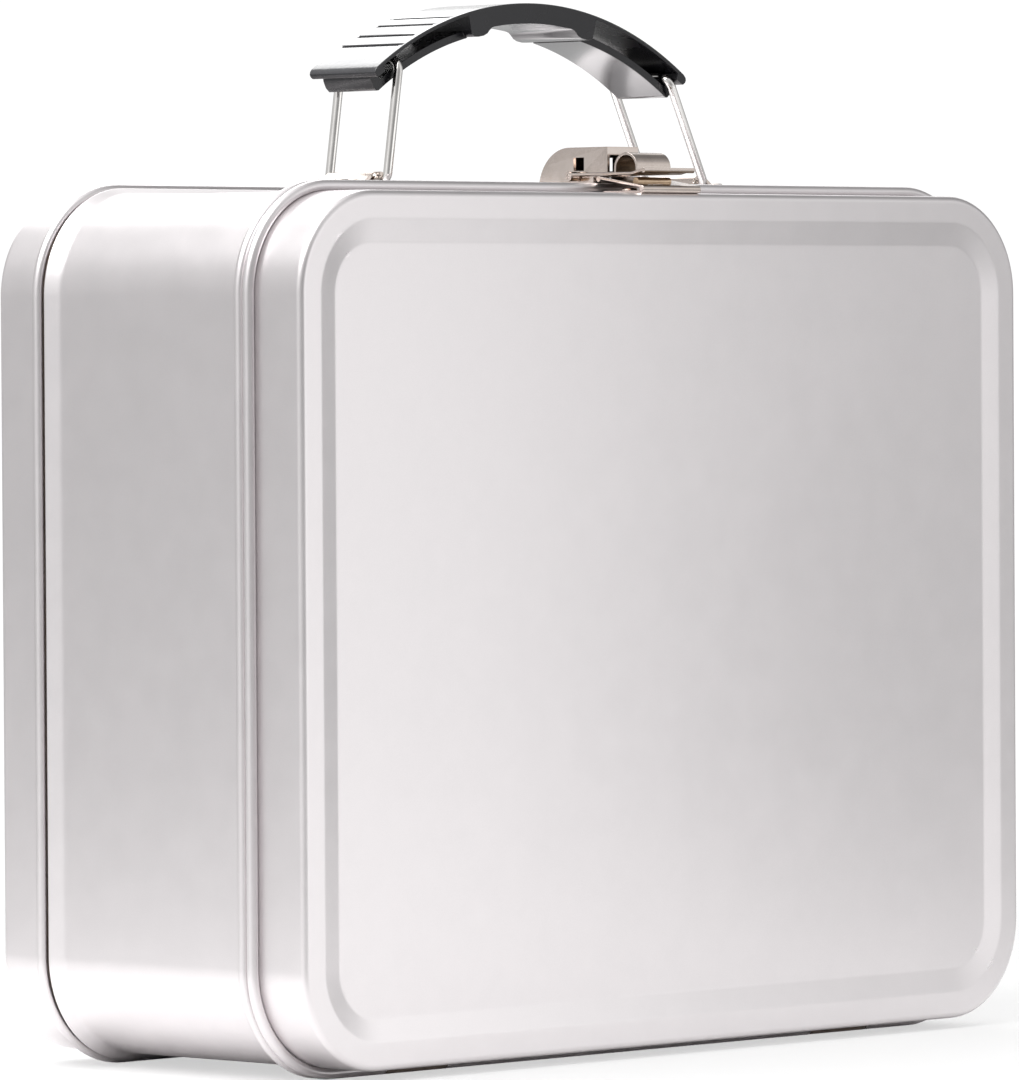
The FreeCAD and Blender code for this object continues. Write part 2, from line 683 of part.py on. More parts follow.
def make_bail(side, sign, lean):
    """A wire bent to a U: the top bar lies in the grip, the feet turn in under the bracket's roll."""
    bail = new_body("bail_" + side)
    path = new_sketch(bail, "WirePath", "YZ_Plane")
    outline(path, [
        ("foot_gap / 2", "0"),
        ("bail_half_width", "0", "bail_foot_bend"),
        ("bail_half_width", "bail_length", "bail_top_bend"),
        ("-bail_half_width", "bail_length", "bail_top_bend"),
        ("-bail_half_width", "0", "bail_foot_bend"),
        ("-foot_gap / 2", "0"),
    ], closed=False)
    section = new_sketch(bail, "WireSection", "XZ_Plane", "-foot_gap / 2")
    circle(section, "0", "0", "wire_radius")
    sweep(bail, "Wire", section, path)
    place(bail, sign + "pivot_place", "box_depth / 2", "box_height + pivot_lift",
          Rotation(Vector(0, 1, 0), size(lean)))


def make_handle_grip():
    """An arched plastic grip with a slot through each end, in which the bails' top bars slide."""
    grip = new_body("handle_grip")

    def ring(kind, name, half_width, low, high, angle, inner_half_width=None):
        sketch = new_sketch(grip, name + "Section", "YZ_Plane")
        if inner_half_width is None:
            rectangle(sketch, "-(%s)" % half_width, low, half_width, high)
        else:
            rectangle(sketch, inner_half_width, low, half_width, high)
            rectangle(sketch, "-(%s)" % half_width, low, "-(%s)" % inner_half_width, high)
        turned(grip, kind, name, sketch, "Y_Axis", "2 * (%s)" % angle)

    ring("Revolution", "Arch", "grip_width / 2", "grip_inner", "grip_outer", "grip_half_angle")
    ring("Groove", "Slots", "grip_width", "slot_inner", "slot_outer", "slot_far_angle")
    ring("Groove", "LegRelief", "grip_width", "grip_inner - 2", "leg_relief", "grip_half_angle + 5",
         "rail_width / 2")
    ring("Revolution", "Middle", "grip_width / 2", "grip_inner", "slot_outer + 0.1", "slot_near_angle")
    ring("Groove", "Waist", "grip_width", "grip_inner - 2", "grip_waist", "waist_angle")
    place(grip, "grip_shift", "box_depth / 2", "box_height + grip_axis_lift")


make_body_band()
make_rear_cover()
make_front_lid()
for side_name, hinge_middle in hinge_spots():
    make_hinge(side_name, hinge_middle)
make_latch_plates()
make_latch_hood()
make_latch_hasp()
make_lid_keeper()
for side_name in ("left", "right"):
    make_bail_bracket(side_name)
make_bail("left", "-", "left_lean")
make_bail("right", "", "-right_lean")
make_handle_grip()
doc.recompute()

# ---------------------------------------------------------------------------------------------
# Every object is checked, then each sub-part is written to its own file
# ---------------------------------------------------------------------------------------------
for item in doc.Objects:
    if "Invalid" in item.State or "Error" in item.State:
        raise RuntimeError("%s did not build: %s" % (item.Name, item.State))
for item in sub_parts:
    if item.Shape.isNull() or not item.Shape.isValid():
        raise RuntimeError("%s has no valid shape" % item.Label)

os.makedirs("parts", exist_ok=True)
for item in sub_parts:
    item.Shape.exportStep("parts/%s.step" % item.Label)
    print("%-30s %d solids %10.1f mm3" % (item.Label, len(item.Shape.Solids), item.Shape.Volume))
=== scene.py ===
import json
import math

import bmesh
import bpy
from mathutils import Matrix, Vector, noise

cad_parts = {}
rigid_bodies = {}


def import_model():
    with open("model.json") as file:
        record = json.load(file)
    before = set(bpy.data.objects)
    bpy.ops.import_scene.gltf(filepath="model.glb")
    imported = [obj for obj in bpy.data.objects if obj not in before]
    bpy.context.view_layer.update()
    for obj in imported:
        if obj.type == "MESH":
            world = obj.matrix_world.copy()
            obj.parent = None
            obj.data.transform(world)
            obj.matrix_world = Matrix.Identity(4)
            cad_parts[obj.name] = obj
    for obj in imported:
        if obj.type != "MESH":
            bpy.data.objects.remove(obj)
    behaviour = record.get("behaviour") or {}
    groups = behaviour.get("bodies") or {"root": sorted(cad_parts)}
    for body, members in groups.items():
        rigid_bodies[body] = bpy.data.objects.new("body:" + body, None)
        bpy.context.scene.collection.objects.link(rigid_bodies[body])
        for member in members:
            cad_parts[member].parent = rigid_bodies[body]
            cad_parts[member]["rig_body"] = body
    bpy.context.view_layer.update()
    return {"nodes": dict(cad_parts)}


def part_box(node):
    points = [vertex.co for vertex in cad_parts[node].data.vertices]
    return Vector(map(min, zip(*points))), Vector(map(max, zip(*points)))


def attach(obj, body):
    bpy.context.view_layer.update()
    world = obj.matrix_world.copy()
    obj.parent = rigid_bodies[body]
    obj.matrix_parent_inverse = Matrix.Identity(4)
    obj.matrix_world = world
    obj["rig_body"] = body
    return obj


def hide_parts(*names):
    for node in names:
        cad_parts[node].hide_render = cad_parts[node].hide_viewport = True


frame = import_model()

MM = 0.001

# Places read from the frame, in millimetres. The shells are drawn with depths counted from the lid's
# face and heights from the underside of the lid's wall, as the tinsmith would measure them.
LID_LOW, LID_HIGH = (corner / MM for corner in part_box("front_lid"))
COVER_LOW, COVER_HIGH = (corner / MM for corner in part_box("rear_cover"))
CURL_RADIUS = 1.1
CURL_BITE = 0.1
RIM_STAND = 2 * CURL_RADIUS - CURL_BITE
FACE_Y = LID_LOW.y
BOX_WIDTH = LID_HIGH.x - LID_LOW.x - 2 * RIM_STAND
BOX_HEIGHT = LID_HIGH.z - LID_LOW.z - 2 * RIM_STAND
BOX_DEPTH = COVER_HIGH.y - LID_LOW.y
BOX_TOP = RIM_STAND + BOX_HEIGHT
CORNER_RADIUS = 19.5
SHEET = 0.6
LID_DEPTH = LID_HIGH.y - LID_LOW.y - CURL_RADIUS
COVER_DEPTH = COVER_HIGH.y - COVER_LOW.y - CURL_RADIUS
BEAD_PLACE = 15.25
FLARE_START = 65.4
FLARE_CREST = 68.4
FLARE_RISE = 1.5
NECK_FRONT = 9.0
NECK_REAR = 76.0
NECK_INSET = 1.0


# ---------------------------------------------------------------------------------------------
# Mesh helpers
# ---------------------------------------------------------------------------------------------
def rounded(corners, step=12):
    """Points along straight runs through corners of (across, up, radius), each rounding an arc."""
    points = []
    last = len(corners) - 1
    for i, corner in enumerate(corners):
        at = Vector(corner[:2])
        radius = corner[2] if len(corner) > 2 else 0
        if radius == 0 or i in (0, last):
            points.append(at)
            continue
        back = (Vector(corners[i - 1][:2]) - at).normalized()
        ahead = (Vector(corners[i + 1][:2]) - at).normalized()
        half = back.angle(ahead) / 2
        centre = at + (back + ahead).normalized() * (radius / math.sin(half))
        first = at + back * (radius / math.tan(half)) - centre
        turn = first.angle_signed(at + ahead * (radius / math.tan(half)) - centre)
        count = max(3, round(abs(math.degrees(turn)) / step))
        for k in range(count + 1):
            arm = Matrix.Rotation(-turn * k / count, 2) @ first
            points.append(centre + arm)
    return points


def arc(centre, radius, start, end, step=12):
    """Points on an arc between two angles in degrees, both ends included."""
    count = max(2, round(abs(end - start) / step))
    angles = [math.radians(start + (end - start) * k / count) for k in range(count + 1)]
    return [Vector((centre[0] + radius * math.cos(a), centre[1] + radius * math.sin(a))) for a in angles]


def split_runs(points, longest=6.0, guard=0.4):
    """Adds points to long runs: one close to each end, so that shading stays flat, and some between."""
    made = [points[0]]
    for a, b in zip(points, points[1:]):
        length = (b - a).length
        if length > 3 * guard:
            inner = max(1, math.ceil((length - 2 * guard) / longest))
            shares = [guard / length + (1 - 2 * guard / length) * k / inner for k in range(inner + 1)]
            made += [a.lerp(b, share) for share in shares]
        made.append(b)
    return made


def stations(corner_steps=22, side_step=7.0):
    """Places round the box: a base point on the skeleton and the outward direction, from mid-bottom."""
    reach_x = BOX_WIDTH / 2 - CORNER_RADIUS
    reach_z = BOX_HEIGHT / 2 - CORNER_RADIUS
    middle = RIM_STAND + BOX_HEIGHT / 2
    corners = [
        (reach_x, -reach_z, -90),
        (reach_x, reach_z, 0),
        (-reach_x, reach_z, 90),
        (-reach_x, -reach_z, 180),
    ]
    places = []
    for i, (x, z, start) in enumerate(corners):
        for k in range(corner_steps + 1):
            turn = math.radians(start + 90 * k / corner_steps)
            places.append((Vector((x, middle + z)), Vector((math.cos(turn), math.sin(turn)))))
        next_x, next_z, _ = corners[(i + 1) % 4]
        a, b = Vector((x, middle + z)), Vector((next_x, middle + next_z))
        count = round((b - a).length / side_step)
        turn = math.radians(start + 90)
        for k in range(1, count):
            places.append((a.lerp(b, k / count), Vector((math.cos(turn), math.sin(turn)))))
    return places


def new_piece(name, mesh_or_bm, body, materials, replaces=()):
    """An object that rides on a CAD body, stands for the nodes it replaces and has its materials."""
    if isinstance(mesh_or_bm, bmesh.types.BMesh):
        mesh = bpy.data.meshes.new(name)
        mesh_or_bm.to_mesh(mesh)
        mesh_or_bm.free()
    else:
        mesh = mesh_or_bm
    piece = bpy.data.objects.new(name, mesh)
    bpy.context.scene.collection.objects.link(piece)
    mesh.materials.clear()
    for material in materials:
        mesh.materials.append(material)
    mesh.shade_smooth()
    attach(piece, body)
    if replaces:
        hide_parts(*replaces)
    return piece


def apply_modifiers(piece):
    """Turns what the modifiers make into the piece's own mesh."""
    graph = bpy.context.evaluated_depsgraph_get()
    made = bpy.data.meshes.new_from_object(piece.evaluated_get(graph))
    piece.modifiers.clear()
    piece.data = made


def combine(piece, operation, mesh):
    """Joins a mesh to the piece, or takes it away."""
    tool = bpy.data.objects.new("tool", mesh)
    bpy.context.scene.collection.objects.link(tool)
    modifier = piece.modifiers.new("combine", "BOOLEAN")
    modifier.operation = operation
    modifier.object = tool
    apply_modifiers(piece)
    bpy.data.objects.remove(tool)


def flat_shading_aid(piece):
    """Normals weighted by face size, so that wide flat faces beside small roundings stay flat."""
    modifier = piece.modifiers.new("weighted_normals", "WEIGHTED_NORMAL")
    modifier.keep_sharp = True


def mark_sharp(bm, degrees=40):
    """Keeps the shading from running across corners."""
    for edge in bm.edges:
        if len(edge.link_faces) == 2 and edge.calc_face_angle(0) > math.radians(degrees):
            edge.smooth = False


# ---------------------------------------------------------------------------------------------
# Shells: a profile of (depth, outward) points carried round the box
# ---------------------------------------------------------------------------------------------
def carry_round(profile, front_y, direction=1, closed=True):
    """A mesh of the profile at every station; depth runs along +Y, or along -Y for direction -1."""
    bm = bmesh.new()
    rings = []
    for base, outward in stations():
        ring = []
        for depth, out in profile:
            at = base + outward * (CORNER_RADIUS + out)
            ring.append(bm.verts.new(Vector((at.x, front_y + direction * depth, at.y)) * MM))
        rings.append(ring)
    count = len(profile)
    spans = count if closed else count - 1
    for ring, after in zip(rings, rings[1:] + rings[:1]):
        for j in range(spans):
            k = (j + 1) % count
            bm.faces.new((ring[j], ring[k], after[k], after[j]))
    return bm, rings


def close_panel(bm, edge_ring, crown, steps=9):
    """Fills a ring with smaller and smaller rings, gently crowned as thin sheet always is."""
    middle = Vector((0, edge_ring[0].co.y, (RIM_STAND + BOX_HEIGHT / 2) * MM))
    previous = edge_ring
    for step in range(1, steps):
        share = 1 - step / steps
        ring = []
        for vert in edge_ring:
            at = middle + (vert.co - middle) * share
            at.y += crown * MM * (1 - share * share) ** 2
            at.y += BUCKLE * MM * (1 - share) * noise.noise(at / (BUCKLE_SIZE * MM))
            ring.append(bm.verts.new(at))
        for i in range(len(ring)):
            j = (i + 1) % len(ring)
            bm.faces.new((previous[i], ring[i], ring[j], previous[j]))
        previous = ring
    tip = bm.verts.new(middle + Vector((0, crown * MM, 0)))
    for i in range(len(previous)):
        bm.faces.new((previous[i], tip, previous[(i + 1) % len(previous)]))


FACE_BORDER = 5.4
PANEL_SLOPE = 4.4
PANEL_RECESS = 0.9
EDGE_ROUND = 1.3
SLOPE_ROUND = 3.0
PANEL_START = FACE_BORDER + PANEL_SLOPE + 3
PANEL_CROWN = 0.18
BUCKLE = 0.05
BUCKLE_SIZE = 55


def pan_profile(depth):
    """From the panel's outer face over the front edge and the rolled rim, and back along the inside."""
    bite_half = math.degrees(math.asin(1 - CURL_BITE / CURL_RADIUS))
    outer = rounded([
        (PANEL_RECESS, -PANEL_START),
        (PANEL_RECESS, -FACE_BORDER - PANEL_SLOPE, SLOPE_ROUND),
        (0, -FACE_BORDER, SLOPE_ROUND),
        (0, 0, EDGE_ROUND),
        (depth - CURL_RADIUS * math.cos(math.radians(bite_half)), 0),
    ], step=9)
    curl_centre = (depth, CURL_RADIUS - CURL_BITE)
    roll = arc(curl_centre, CURL_RADIUS, 180 + bite_half, -80)[1:]
    inner = rounded([
        (depth + 0.1, -0.18),
        (depth + 0.1, -SHEET + 0.1, 0.15),
        (depth - 0.1, -SHEET),
        (SHEET, -SHEET, EDGE_ROUND - SHEET),
        (SHEET, -FACE_BORDER, SLOPE_ROUND),
        (PANEL_RECESS + SHEET, -FACE_BORDER - PANEL_SLOPE, SLOPE_ROUND),
        (PANEL_RECESS + SHEET, -PANEL_START),
    ], step=12)
    return split_runs(outer + roll + inner)


NOTCH_LOW = -1
LID_NOTCH_FRONT = 1.7
LID_NOTCH_REAR = 2
BEAD_NOTCH = 2.2
NOTCH_GAP = 0.25


def cut_notches(piece, low_y, high_y, high_z, places, width):
    """Removes a box-shaped notch from the lower rim at each hinge."""
    for x in places:
        bm = bmesh.new()
        bmesh.ops.create_cube(bm, size=1)
        size = Vector((width, high_y - low_y, high_z - NOTCH_LOW)) * MM
        middle = Vector((x, (low_y + high_y) / 2, (NOTCH_LOW + high_z) / 2)) * MM
        bmesh.ops.transform(bm, matrix=Matrix.LocRotScale(middle, None, size), verts=bm.verts)
        mesh = bpy.data.meshes.new("notch_cutter")
        bm.to_mesh(mesh)
        bm.free()
        combine(piece, "DIFFERENCE", mesh)


def hinge_places():
    """The middles of the two hinge straps."""
    boxes = [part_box("hinge_strap_" + side) for side in ("left", "right")]
    return [sum(corner.x for corner in box) / 2 / MM for box in boxes]


def hinge_notch_width():
    """A strap's width and a gap on either side of it."""
    low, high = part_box("hinge_strap_left")
    return (high.x - low.x) / MM + 2 * NOTCH_GAP


def make_pan(name, node, body, depth, face_y, direction, material):
    """A drawn shell with both skins of its panel: the lid, or the cover with its depth along -Y."""
    bm, rings = carry_round(pan_profile(depth), face_y, direction, closed=False)
    for edge in (0, -1):
        close_panel(bm, [ring[edge] for ring in rings], crown=-PANEL_CROWN * direction)
    bmesh.ops.recalc_face_normals(bm, faces=bm.faces)
    mark_sharp(bm)
    piece = new_piece(name, bm, body, [material], [node])
    return piece


def band_profile():
    """Along the outside from the lid's neck to the rear cover's, and back along the inside."""
    bite_half = math.degrees(math.asin(1 - CURL_BITE / CURL_RADIUS))
    neck = -NECK_INSET
    outer = rounded([
        (NECK_FRONT, neck),
        (BEAD_PLACE - 1.6, neck, 0.5),
        (BEAD_PLACE - 0.75, -0.15),
    ])
    bead = arc((BEAD_PLACE, CURL_RADIUS - CURL_BITE), CURL_RADIUS, 180 + bite_half, -bite_half)
    wall = rounded([
        (BEAD_PLACE + 0.6, 0),
        (FLARE_START, 0, 3.0),
        (FLARE_CREST, FLARE_RISE, 0.35),
        (FLARE_CREST + SHEET, -SHEET, 0.2),
        (NECK_REAR, -SHEET),
    ])
    inner = rounded([
        (NECK_REAR, -2 * SHEET),
        (FLARE_CREST, -2 * SHEET, 0.3),
        (FLARE_CREST - 0.3, FLARE_RISE - 0.8, 0.2),
        (FLARE_START, -SHEET, 2.4),
        (BEAD_PLACE - 0.2, -SHEET, 0.3),
        (BEAD_PLACE - 1.2, neck - SHEET, 0.6),
        (NECK_FRONT, neck - SHEET),
    ])
    return split_runs(outer + bead + wall + inner)


# The seam's painted shade runs between these depths behind the flare's crest.
SEAM_NEAR = 0.4
SEAM_FAR = 3.0


def paint_seam_shade(band, painted_shade):
    """Painted shade at the bottom of the seam beside the rear cover: its outward faces get a dark metal."""
    band.data.materials.append(painted_shade)
    middle = Vector((0, 0, (RIM_STAND + BOX_HEIGHT / 2) * MM))
    for face in band.data.polygons:
        depth = face.center.y / MM - FACE_Y - FLARE_CREST
        outward = face.center - middle
        outward.y = 0
        faces_out = face.normal.dot(outward) > 0 or face.normal.y > 0.5
        # Painted shade: the dark metal goes on the seam's outward faces.
        if SEAM_NEAR < depth < SEAM_FAR and faces_out:
            face.material_index = 1


def make_shells(material, painted_shade):
    """The lid, the rear cover and the band between them."""
    lid = make_pan("front_lid_shell", "front_lid", "lid", LID_DEPTH, FACE_Y, 1, material)
    width = hinge_notch_width()
    places = hinge_places()
    curl_y = FACE_Y + LID_DEPTH
    notch_top = RIM_STAND + SHEET + CURL_BITE
    cut_notches(lid, curl_y - LID_NOTCH_FRONT, curl_y + LID_NOTCH_REAR, notch_top, places, width)
    flat_shading_aid(lid)
    cover = make_pan("rear_cover_shell", "rear_cover", "box", COVER_DEPTH, FACE_Y + BOX_DEPTH, -1, material)
    flat_shading_aid(cover)
    bm, _ = carry_round(band_profile(), FACE_Y)
    bmesh.ops.recalc_face_normals(bm, faces=bm.faces)
    mark_sharp(bm)
    band = new_piece("body_band_shell", bm, "box", [material], ["body_band"])
    bead_y = FACE_Y + BEAD_PLACE
    cut_notches(band, bead_y - BEAD_NOTCH, bead_y + BEAD_NOTCH, RIM_STAND, places, width)
    # Painted shade in the seam beside the rear cover.
    paint_seam_shade(band, painted_shade)
    flat_shading_aid(band)


# ---------------------------------------------------------------------------------------------
# Small stamped parts: the CAD shape with its edges eased
# ---------------------------------------------------------------------------------------------
def eased(node, material, edge=0.12, segments=2, angle=32):
    """A new mesh from the CAD node's shape, with flat faces joined up and sharp edges rounded."""
    bm = bmesh.new()
    bm.from_mesh(frame["nodes"][node].data)
    bmesh.ops.remove_doubles(bm, verts=bm.verts, dist=0.002 * MM)
    bmesh.ops.dissolve_limit(bm, angle_limit=math.radians(0.6), verts=bm.verts, edges=bm.edges)
    bmesh.ops.recalc_face_normals(bm, faces=bm.faces)
    body = frame["nodes"][node]["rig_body"]
    piece = new_piece(node + "_eased", bm, body, [material], [node])
    if "custom_normal" in piece.data.attributes:
        piece.data.attributes.remove(piece.data.attributes["custom_normal"])
    bevel = piece.modifiers.new("eased_edges", "BEVEL")
    bevel.width = edge * MM
    bevel.segments = segments
    bevel.limit_method = "ANGLE"
    bevel.angle_limit = math.radians(angle)
    bevel.use_clamp_overlap = True
    flat_shading_aid(piece)
    return piece


# The arch's middle and the reach of its hollow, where painted shade goes.
ARCH_MIDDLE = Vector((0, FACE_Y + 8.2, BOX_TOP + 4.6))
ARCH_REACH = 4


def paint_hasp_shade(hasp, painted_shade):
    """Painted shade on the hasp's underside and in the hollow of its arch: a dark metal on the faces there.
    """
    hasp.data.materials.append(painted_shade)
    for face in hasp.data.polygons:
        arm = face.center - ARCH_MIDDLE * MM
        arm.x = 0
        in_hollow = arm.length < ARCH_REACH * MM and face.normal.dot(arm) < -0.3 * arm.length
        # Painted shade: faces turned down, or turned into the arch's hollow.
        if face.normal.z < -0.3 or in_hollow:
            face.material_index = 1


# ---------------------------------------------------------------------------------------------
# Materials
# ---------------------------------------------------------------------------------------------
class Nodes:
    """Short words for building a node tree."""

    def __init__(self, name):
        self.material = bpy.data.materials.new(name)
        self.material.use_nodes = True
        self.tree = self.material.node_tree
        self.shader = next(n for n in self.tree.nodes if n.type == "BSDF_PRINCIPLED")
        self.place = self.tree.nodes.new("ShaderNodeTexCoord").outputs["Object"]

    def add(self, kind, **settings):
        node = self.tree.nodes.new(kind)
        for key, value in settings.items():
            setattr(node, key, value)
        return node

    def link(self, output, socket):
        self.tree.links.new(output, socket)

    def stretched(self, scale):
        """The place on the object, scaled differently along each axis."""
        mapping = self.add("ShaderNodeMapping")
        mapping.inputs["Scale"].default_value = scale
        self.link(self.place, mapping.inputs["Vector"])
        return mapping.outputs["Vector"]

    def noise(self, scale, detail=3, rough=0.55, vector=None):
        node = self.add("ShaderNodeTexNoise")
        node.inputs["Scale"].default_value = scale
        node.inputs["Detail"].default_value = detail
        node.inputs["Roughness"].default_value = rough
        self.link(vector or self.place, node.inputs["Vector"])
        return node.outputs["Fac"]

    def to_range(self, value, low, high, from_low=0.0, from_high=1.0):
        node = self.add("ShaderNodeMapRange")
        node.inputs["From Min"].default_value = from_low
        node.inputs["From Max"].default_value = from_high
        node.inputs["To Min"].default_value = low
        node.inputs["To Max"].default_value = high
        self.link(value, node.inputs["Value"])
        return node.outputs["Result"]

    def math(self, operation, a, b):
        node = self.add("ShaderNodeMath", operation=operation)
        for socket, value in zip(node.inputs, (a, b)):
            if isinstance(value, (int, float)):
                socket.default_value = value
            else:
                self.link(value, socket)
        return node.outputs[0]

    def mix(self, share, a, b):
        node = self.add("ShaderNodeMix", data_type="RGBA")
        self.link(share, node.inputs["Factor"])
        for socket, value in ((node.inputs["A"], a), (node.inputs["B"], b)):
            if isinstance(value, tuple):
                socket.default_value = (*value, 1)
            else:
                self.link(value, socket)
        return node.outputs["Result"]

    def edges(self, low=0.52, high=0.6):
        """How far the surface is on a raised edge, from 0 to 1."""
        pointed = self.add("ShaderNodeNewGeometry").outputs["Pointiness"]
        return self.to_range(pointed, 0, 1, low, high)

    def bump(self, height, strength, distance, before=None):
        node = self.add("ShaderNodeBump")
        node.inputs["Strength"].default_value = strength
        node.inputs["Distance"].default_value = distance
        self.link(height, node.inputs["Height"])
        if before is not None:
            self.link(before, node.inputs["Normal"])
        return node.outputs["Normal"]

    def set(self, **values):
        for key, value in values.items():
            socket = self.shader.inputs[key.replace("_", " ").title().replace("Ior", "IOR")]
            if isinstance(value, (int, float)):
                socket.default_value = value
            else:
                self.link(value, socket)


def metal(name, light, dark, rough, spread, grain_scale, grain_depth, mottle_scale=160, rolled=0.0):
    """A plated or rolled metal: mottled colour, fine grain, uneven gloss, edges rubbed brighter."""
    nodes = Nodes(name)
    mottle = nodes.noise(mottle_scale, 2)
    grain = nodes.noise(grain_scale, 2, 0.7)
    lines = nodes.noise(1, 3, 0.6, nodes.stretched((60, 60, 5200)))
    shade = nodes.math("ADD", nodes.math("MULTIPLY", mottle, 0.4), nodes.math("MULTIPLY", grain, 0.6))
    colour = nodes.mix(nodes.to_range(shade, 0, 1, 0.35, 0.65), dark, light)
    rub = nodes.edges()
    bright = tuple(min(1.0, value * 1.08) for value in light)
    nodes.set(base_color=nodes.mix(rub, colour, bright), metallic=1.0)
    gloss = nodes.to_range(nodes.math("ADD", mottle, nodes.math("MULTIPLY", grain, 0.4)),
                           rough - spread, rough + spread, 0.5, 0.9)
    worn = nodes.math("MULTIPLY", rub, -0.35 * rough)
    nodes.set(roughness=nodes.math("ADD", gloss, worn))
    height = nodes.math("ADD", grain, nodes.math("MULTIPLY", lines, rolled))
    nodes.set(normal=nodes.bump(height, grain_depth, 0.02 * MM))
    return nodes.material


def plastic(name, colour, rough, pebble_scale, pebble_strength, skin=0.0):
    """Moulded black plastic, pebbled or smooth, blotched grey, under a skin that is glossy or not."""
    nodes = Nodes(name)
    cloud = nodes.noise(90, 3)
    pebbles = nodes.add("ShaderNodeTexVoronoi", feature="SMOOTH_F1")
    pebbles.inputs["Scale"].default_value = pebble_scale
    pebbles.inputs["Smoothness"].default_value = 0.6
    nodes.link(nodes.place, pebbles.inputs["Vector"])
    fine = nodes.noise(pebble_scale * 3.1, 3, 0.6)
    rubbed = tuple(value * 1.9 for value in colour)
    nodes.set(base_color=nodes.mix(nodes.to_range(cloud, 0, 0.7, 0.3, 0.75), colour, rubbed))
    nodes.set(roughness=nodes.to_range(cloud, rough - 0.05, rough + 0.08, 0.3, 0.7))
    height = nodes.math("SUBTRACT", nodes.math("MULTIPLY", fine, 0.35), pebbles.outputs["Distance"])
    nodes.set(normal=nodes.bump(height, pebble_strength, 0.12 * MM))
    nodes.shader.inputs["Specular IOR Level"].default_value = 0.5 + 0.5 * skin
    nodes.shader.inputs["Coat Weight"].default_value = skin
    nodes.shader.inputs["Coat Roughness"].default_value = 0.1
    return nodes.material


# ---------------------------------------------------------------------------------------------
# Handle
# ---------------------------------------------------------------------------------------------
def tube(name, path, radius, body, material, node, sides=24):
    """A round wire along a path of points in metres, with domed ends."""
    bm = bmesh.new()
    rings = []
    directions = [(b - a).normalized() for a, b in zip(path, path[1:])]
    tangents = [directions[0]]
    tangents += [(a + b).normalized() for a, b in zip(directions, directions[1:])]
    tangents.append(directions[-1])
    side = tangents[0].orthogonal().normalized()
    places = [(path[0] - tangents[0] * radius * 0.3, tangents[0], 0.6)]
    places += [(at, tangent, 1.0) for at, tangent in zip(path, tangents)]
    places.append((path[-1] + tangents[-1] * radius * 0.3, tangents[-1], 0.6))
    for at, tangent, share in places:
        side = (side - tangent * side.dot(tangent)).normalized()
        other = tangent.cross(side)
        ring = []
        for k in range(sides):
            turn = 2 * math.pi * k / sides
            ring.append(bm.verts.new(at + (side * math.cos(turn) + other * math.sin(turn)) * radius * share))
        rings.append(ring)
    for ring, after in zip(rings, rings[1:]):
        for k in range(sides):
            m = (k + 1) % sides
            bm.faces.new((ring[k], ring[m], after[m], after[k]))
    bm.faces.new(rings[0])
    bm.faces.new(rings[-1])
    bmesh.ops.recalc_face_normals(bm, faces=bm.faces)
    return new_piece(name, bm, body, [material], [node])


WIRE_RADIUS = 0.9
BAIL_LENGTH = 23.7
BAIL_HALF_WIDTH = 7.9
BAILS = {"left": (-45.0, 8.75), "right": (45.0, -26.0)}
PIVOT_LIFT = 2.6


def make_bail(side, material):
    """A wire bent to a U, with its two feet turned in, leaning as it does in the photo."""
    pivot_x, lean = BAILS[side]
    pivot = Vector((pivot_x, 0, BOX_TOP + PIVOT_LIFT))
    outline = rounded([
        (1.0, 0),
        (BAIL_HALF_WIDTH, 0, 1.5),
        (BAIL_HALF_WIDTH, BAIL_LENGTH, 2.5),
        (-BAIL_HALF_WIDTH, BAIL_LENGTH, 2.5),
        (-BAIL_HALF_WIDTH, 0, 1.5),
        (-1.0, 0),
    ], step=8)
    lean_turn = Matrix.Rotation(math.radians(lean), 3, "Y")
    path = [(pivot + lean_turn @ Vector((0, along, up))) * MM for along, up in outline]
    bail = "bail_" + side
    tube(bail + "_wire", path, WIRE_RADIUS * MM, bail, material, bail)


GRIP_AXIS = Vector((-5.2, 0, BOX_TOP - 40.0))
GRIP_OUTER = 77.6
GRIP_INNER = 72.3
GRIP_WAIST = 73.6
GRIP_END = 34.8
WAIST_END = 8.4
SLOT_OUTER = 76.85
SLOT_INNER = 73.85
SLOT_NEAR = 13.5
SLOT_FAR = 32.9
GRIP_HALF_WIDTH = 9.0
RAIL_HALF_WIDTH = 6.5
RAIL_NEAR = 12.8
POST_TOP = 76.9
GRIP_EASING = 0.4
PEBBLED_DEPTH = 0.55
GROOVE_ANGLES = (16.4, 20.0, 24.2, 27.6)
GROOVE_WIDTH = 0.9
GROOVE_DEPTH = 0.6
GROOVE_MARGIN = 1.3


def curved_solid(outline, half_width):
    """A solid whose side is an outline of (angle in degrees, radius) points about the grip's axis."""
    bm = bmesh.new()
    sides = []
    for y in (-half_width, half_width):
        ring = []
        for angle, radius in outline:
            turn = math.radians(angle)
            at = GRIP_AXIS + Vector((radius * math.sin(turn), y, radius * math.cos(turn)))
            ring.append(bm.verts.new(at * MM))
        sides.append(ring)
    bm.faces.new(sides[0])
    bm.faces.new(sides[1])
    for i in range(len(outline)):
        j = (i + 1) % len(outline)
        bm.faces.new((sides[0][i], sides[0][j], sides[1][j], sides[1][i]))
    bmesh.ops.recalc_face_normals(bm, faces=bm.faces)
    mesh = bpy.data.meshes.new("curved_solid")
    bm.to_mesh(mesh)
    bm.free()
    return mesh


def sweep_angle(start, end, radius, step=1.0):
    """Points of (angle, radius) from one angle to another, about a degree apart."""
    count = max(1, round(abs(end - start) / step))
    return [(start + (end - start) * k / count, radius) for k in range(count + 1)]


